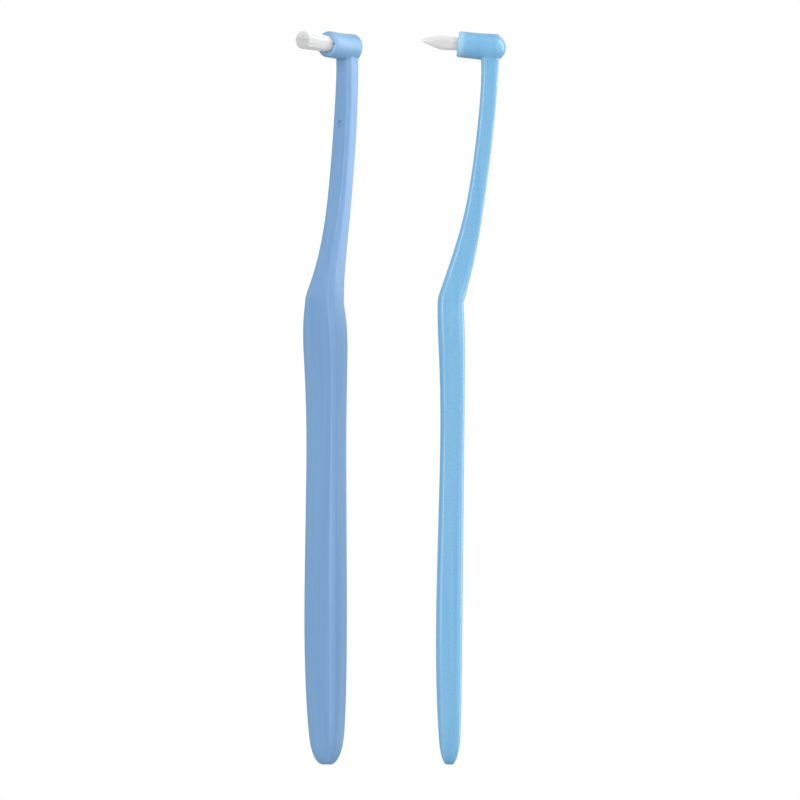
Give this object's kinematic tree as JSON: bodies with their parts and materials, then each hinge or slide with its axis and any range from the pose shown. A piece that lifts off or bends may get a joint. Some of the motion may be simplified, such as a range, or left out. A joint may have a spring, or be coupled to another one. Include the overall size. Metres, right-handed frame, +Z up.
{
  "type": "single-tuft brush set",
  "caption": "Slim bent-neck hand brushes with a small round head and a folded filament tuft, one pointed and one flat trimmed, for cleaning between and behind teeth.",
  "frame": {"origin": "on the pointed brush's handle axis at the belly of its grip, about 30 mm above the handle's lower end", "axes": "+Z up along the handles towards the heads, -X the way the pointed brush's tuft points, +Y away from the picture's viewer"},
  "size_m": [0.0476, 0.0181, 0.1652],
  "materials": {
    "cyan_plastic": "smooth translucent moulding",
    "periwinkle_plastic": "smooth translucent moulding",
    "anchor_metal": "cut from flat wire",
    "nylon_filament": "translucent drawn filament"
  },
  "bodies": {
    "pointed_brush": {"pointed_handle": "cyan_plastic", "pointed_anchor": "anchor_metal", "pointed_filaments_layer_1": "nylon_filament", "pointed_filaments_layer_2": "nylon_filament", "pointed_filaments_layer_3": "nylon_filament"},
    "flat_brush": {"flat_handle": "periwinkle_plastic", "flat_anchor": "anchor_metal", "flat_filaments_layer_1": "nylon_filament", "flat_filaments_layer_2": "nylon_filament", "flat_filaments_layer_3": "nylon_filament", "flat_filaments_layer_4": "nylon_filament"}
  },
  "joints": [
    {"name": "flat_lift", "type": "slide", "parent": "pointed_brush", "child": "flat_brush", "axis": [0, 0, 1], "range_m": [0, 0.06]}
  ]
}
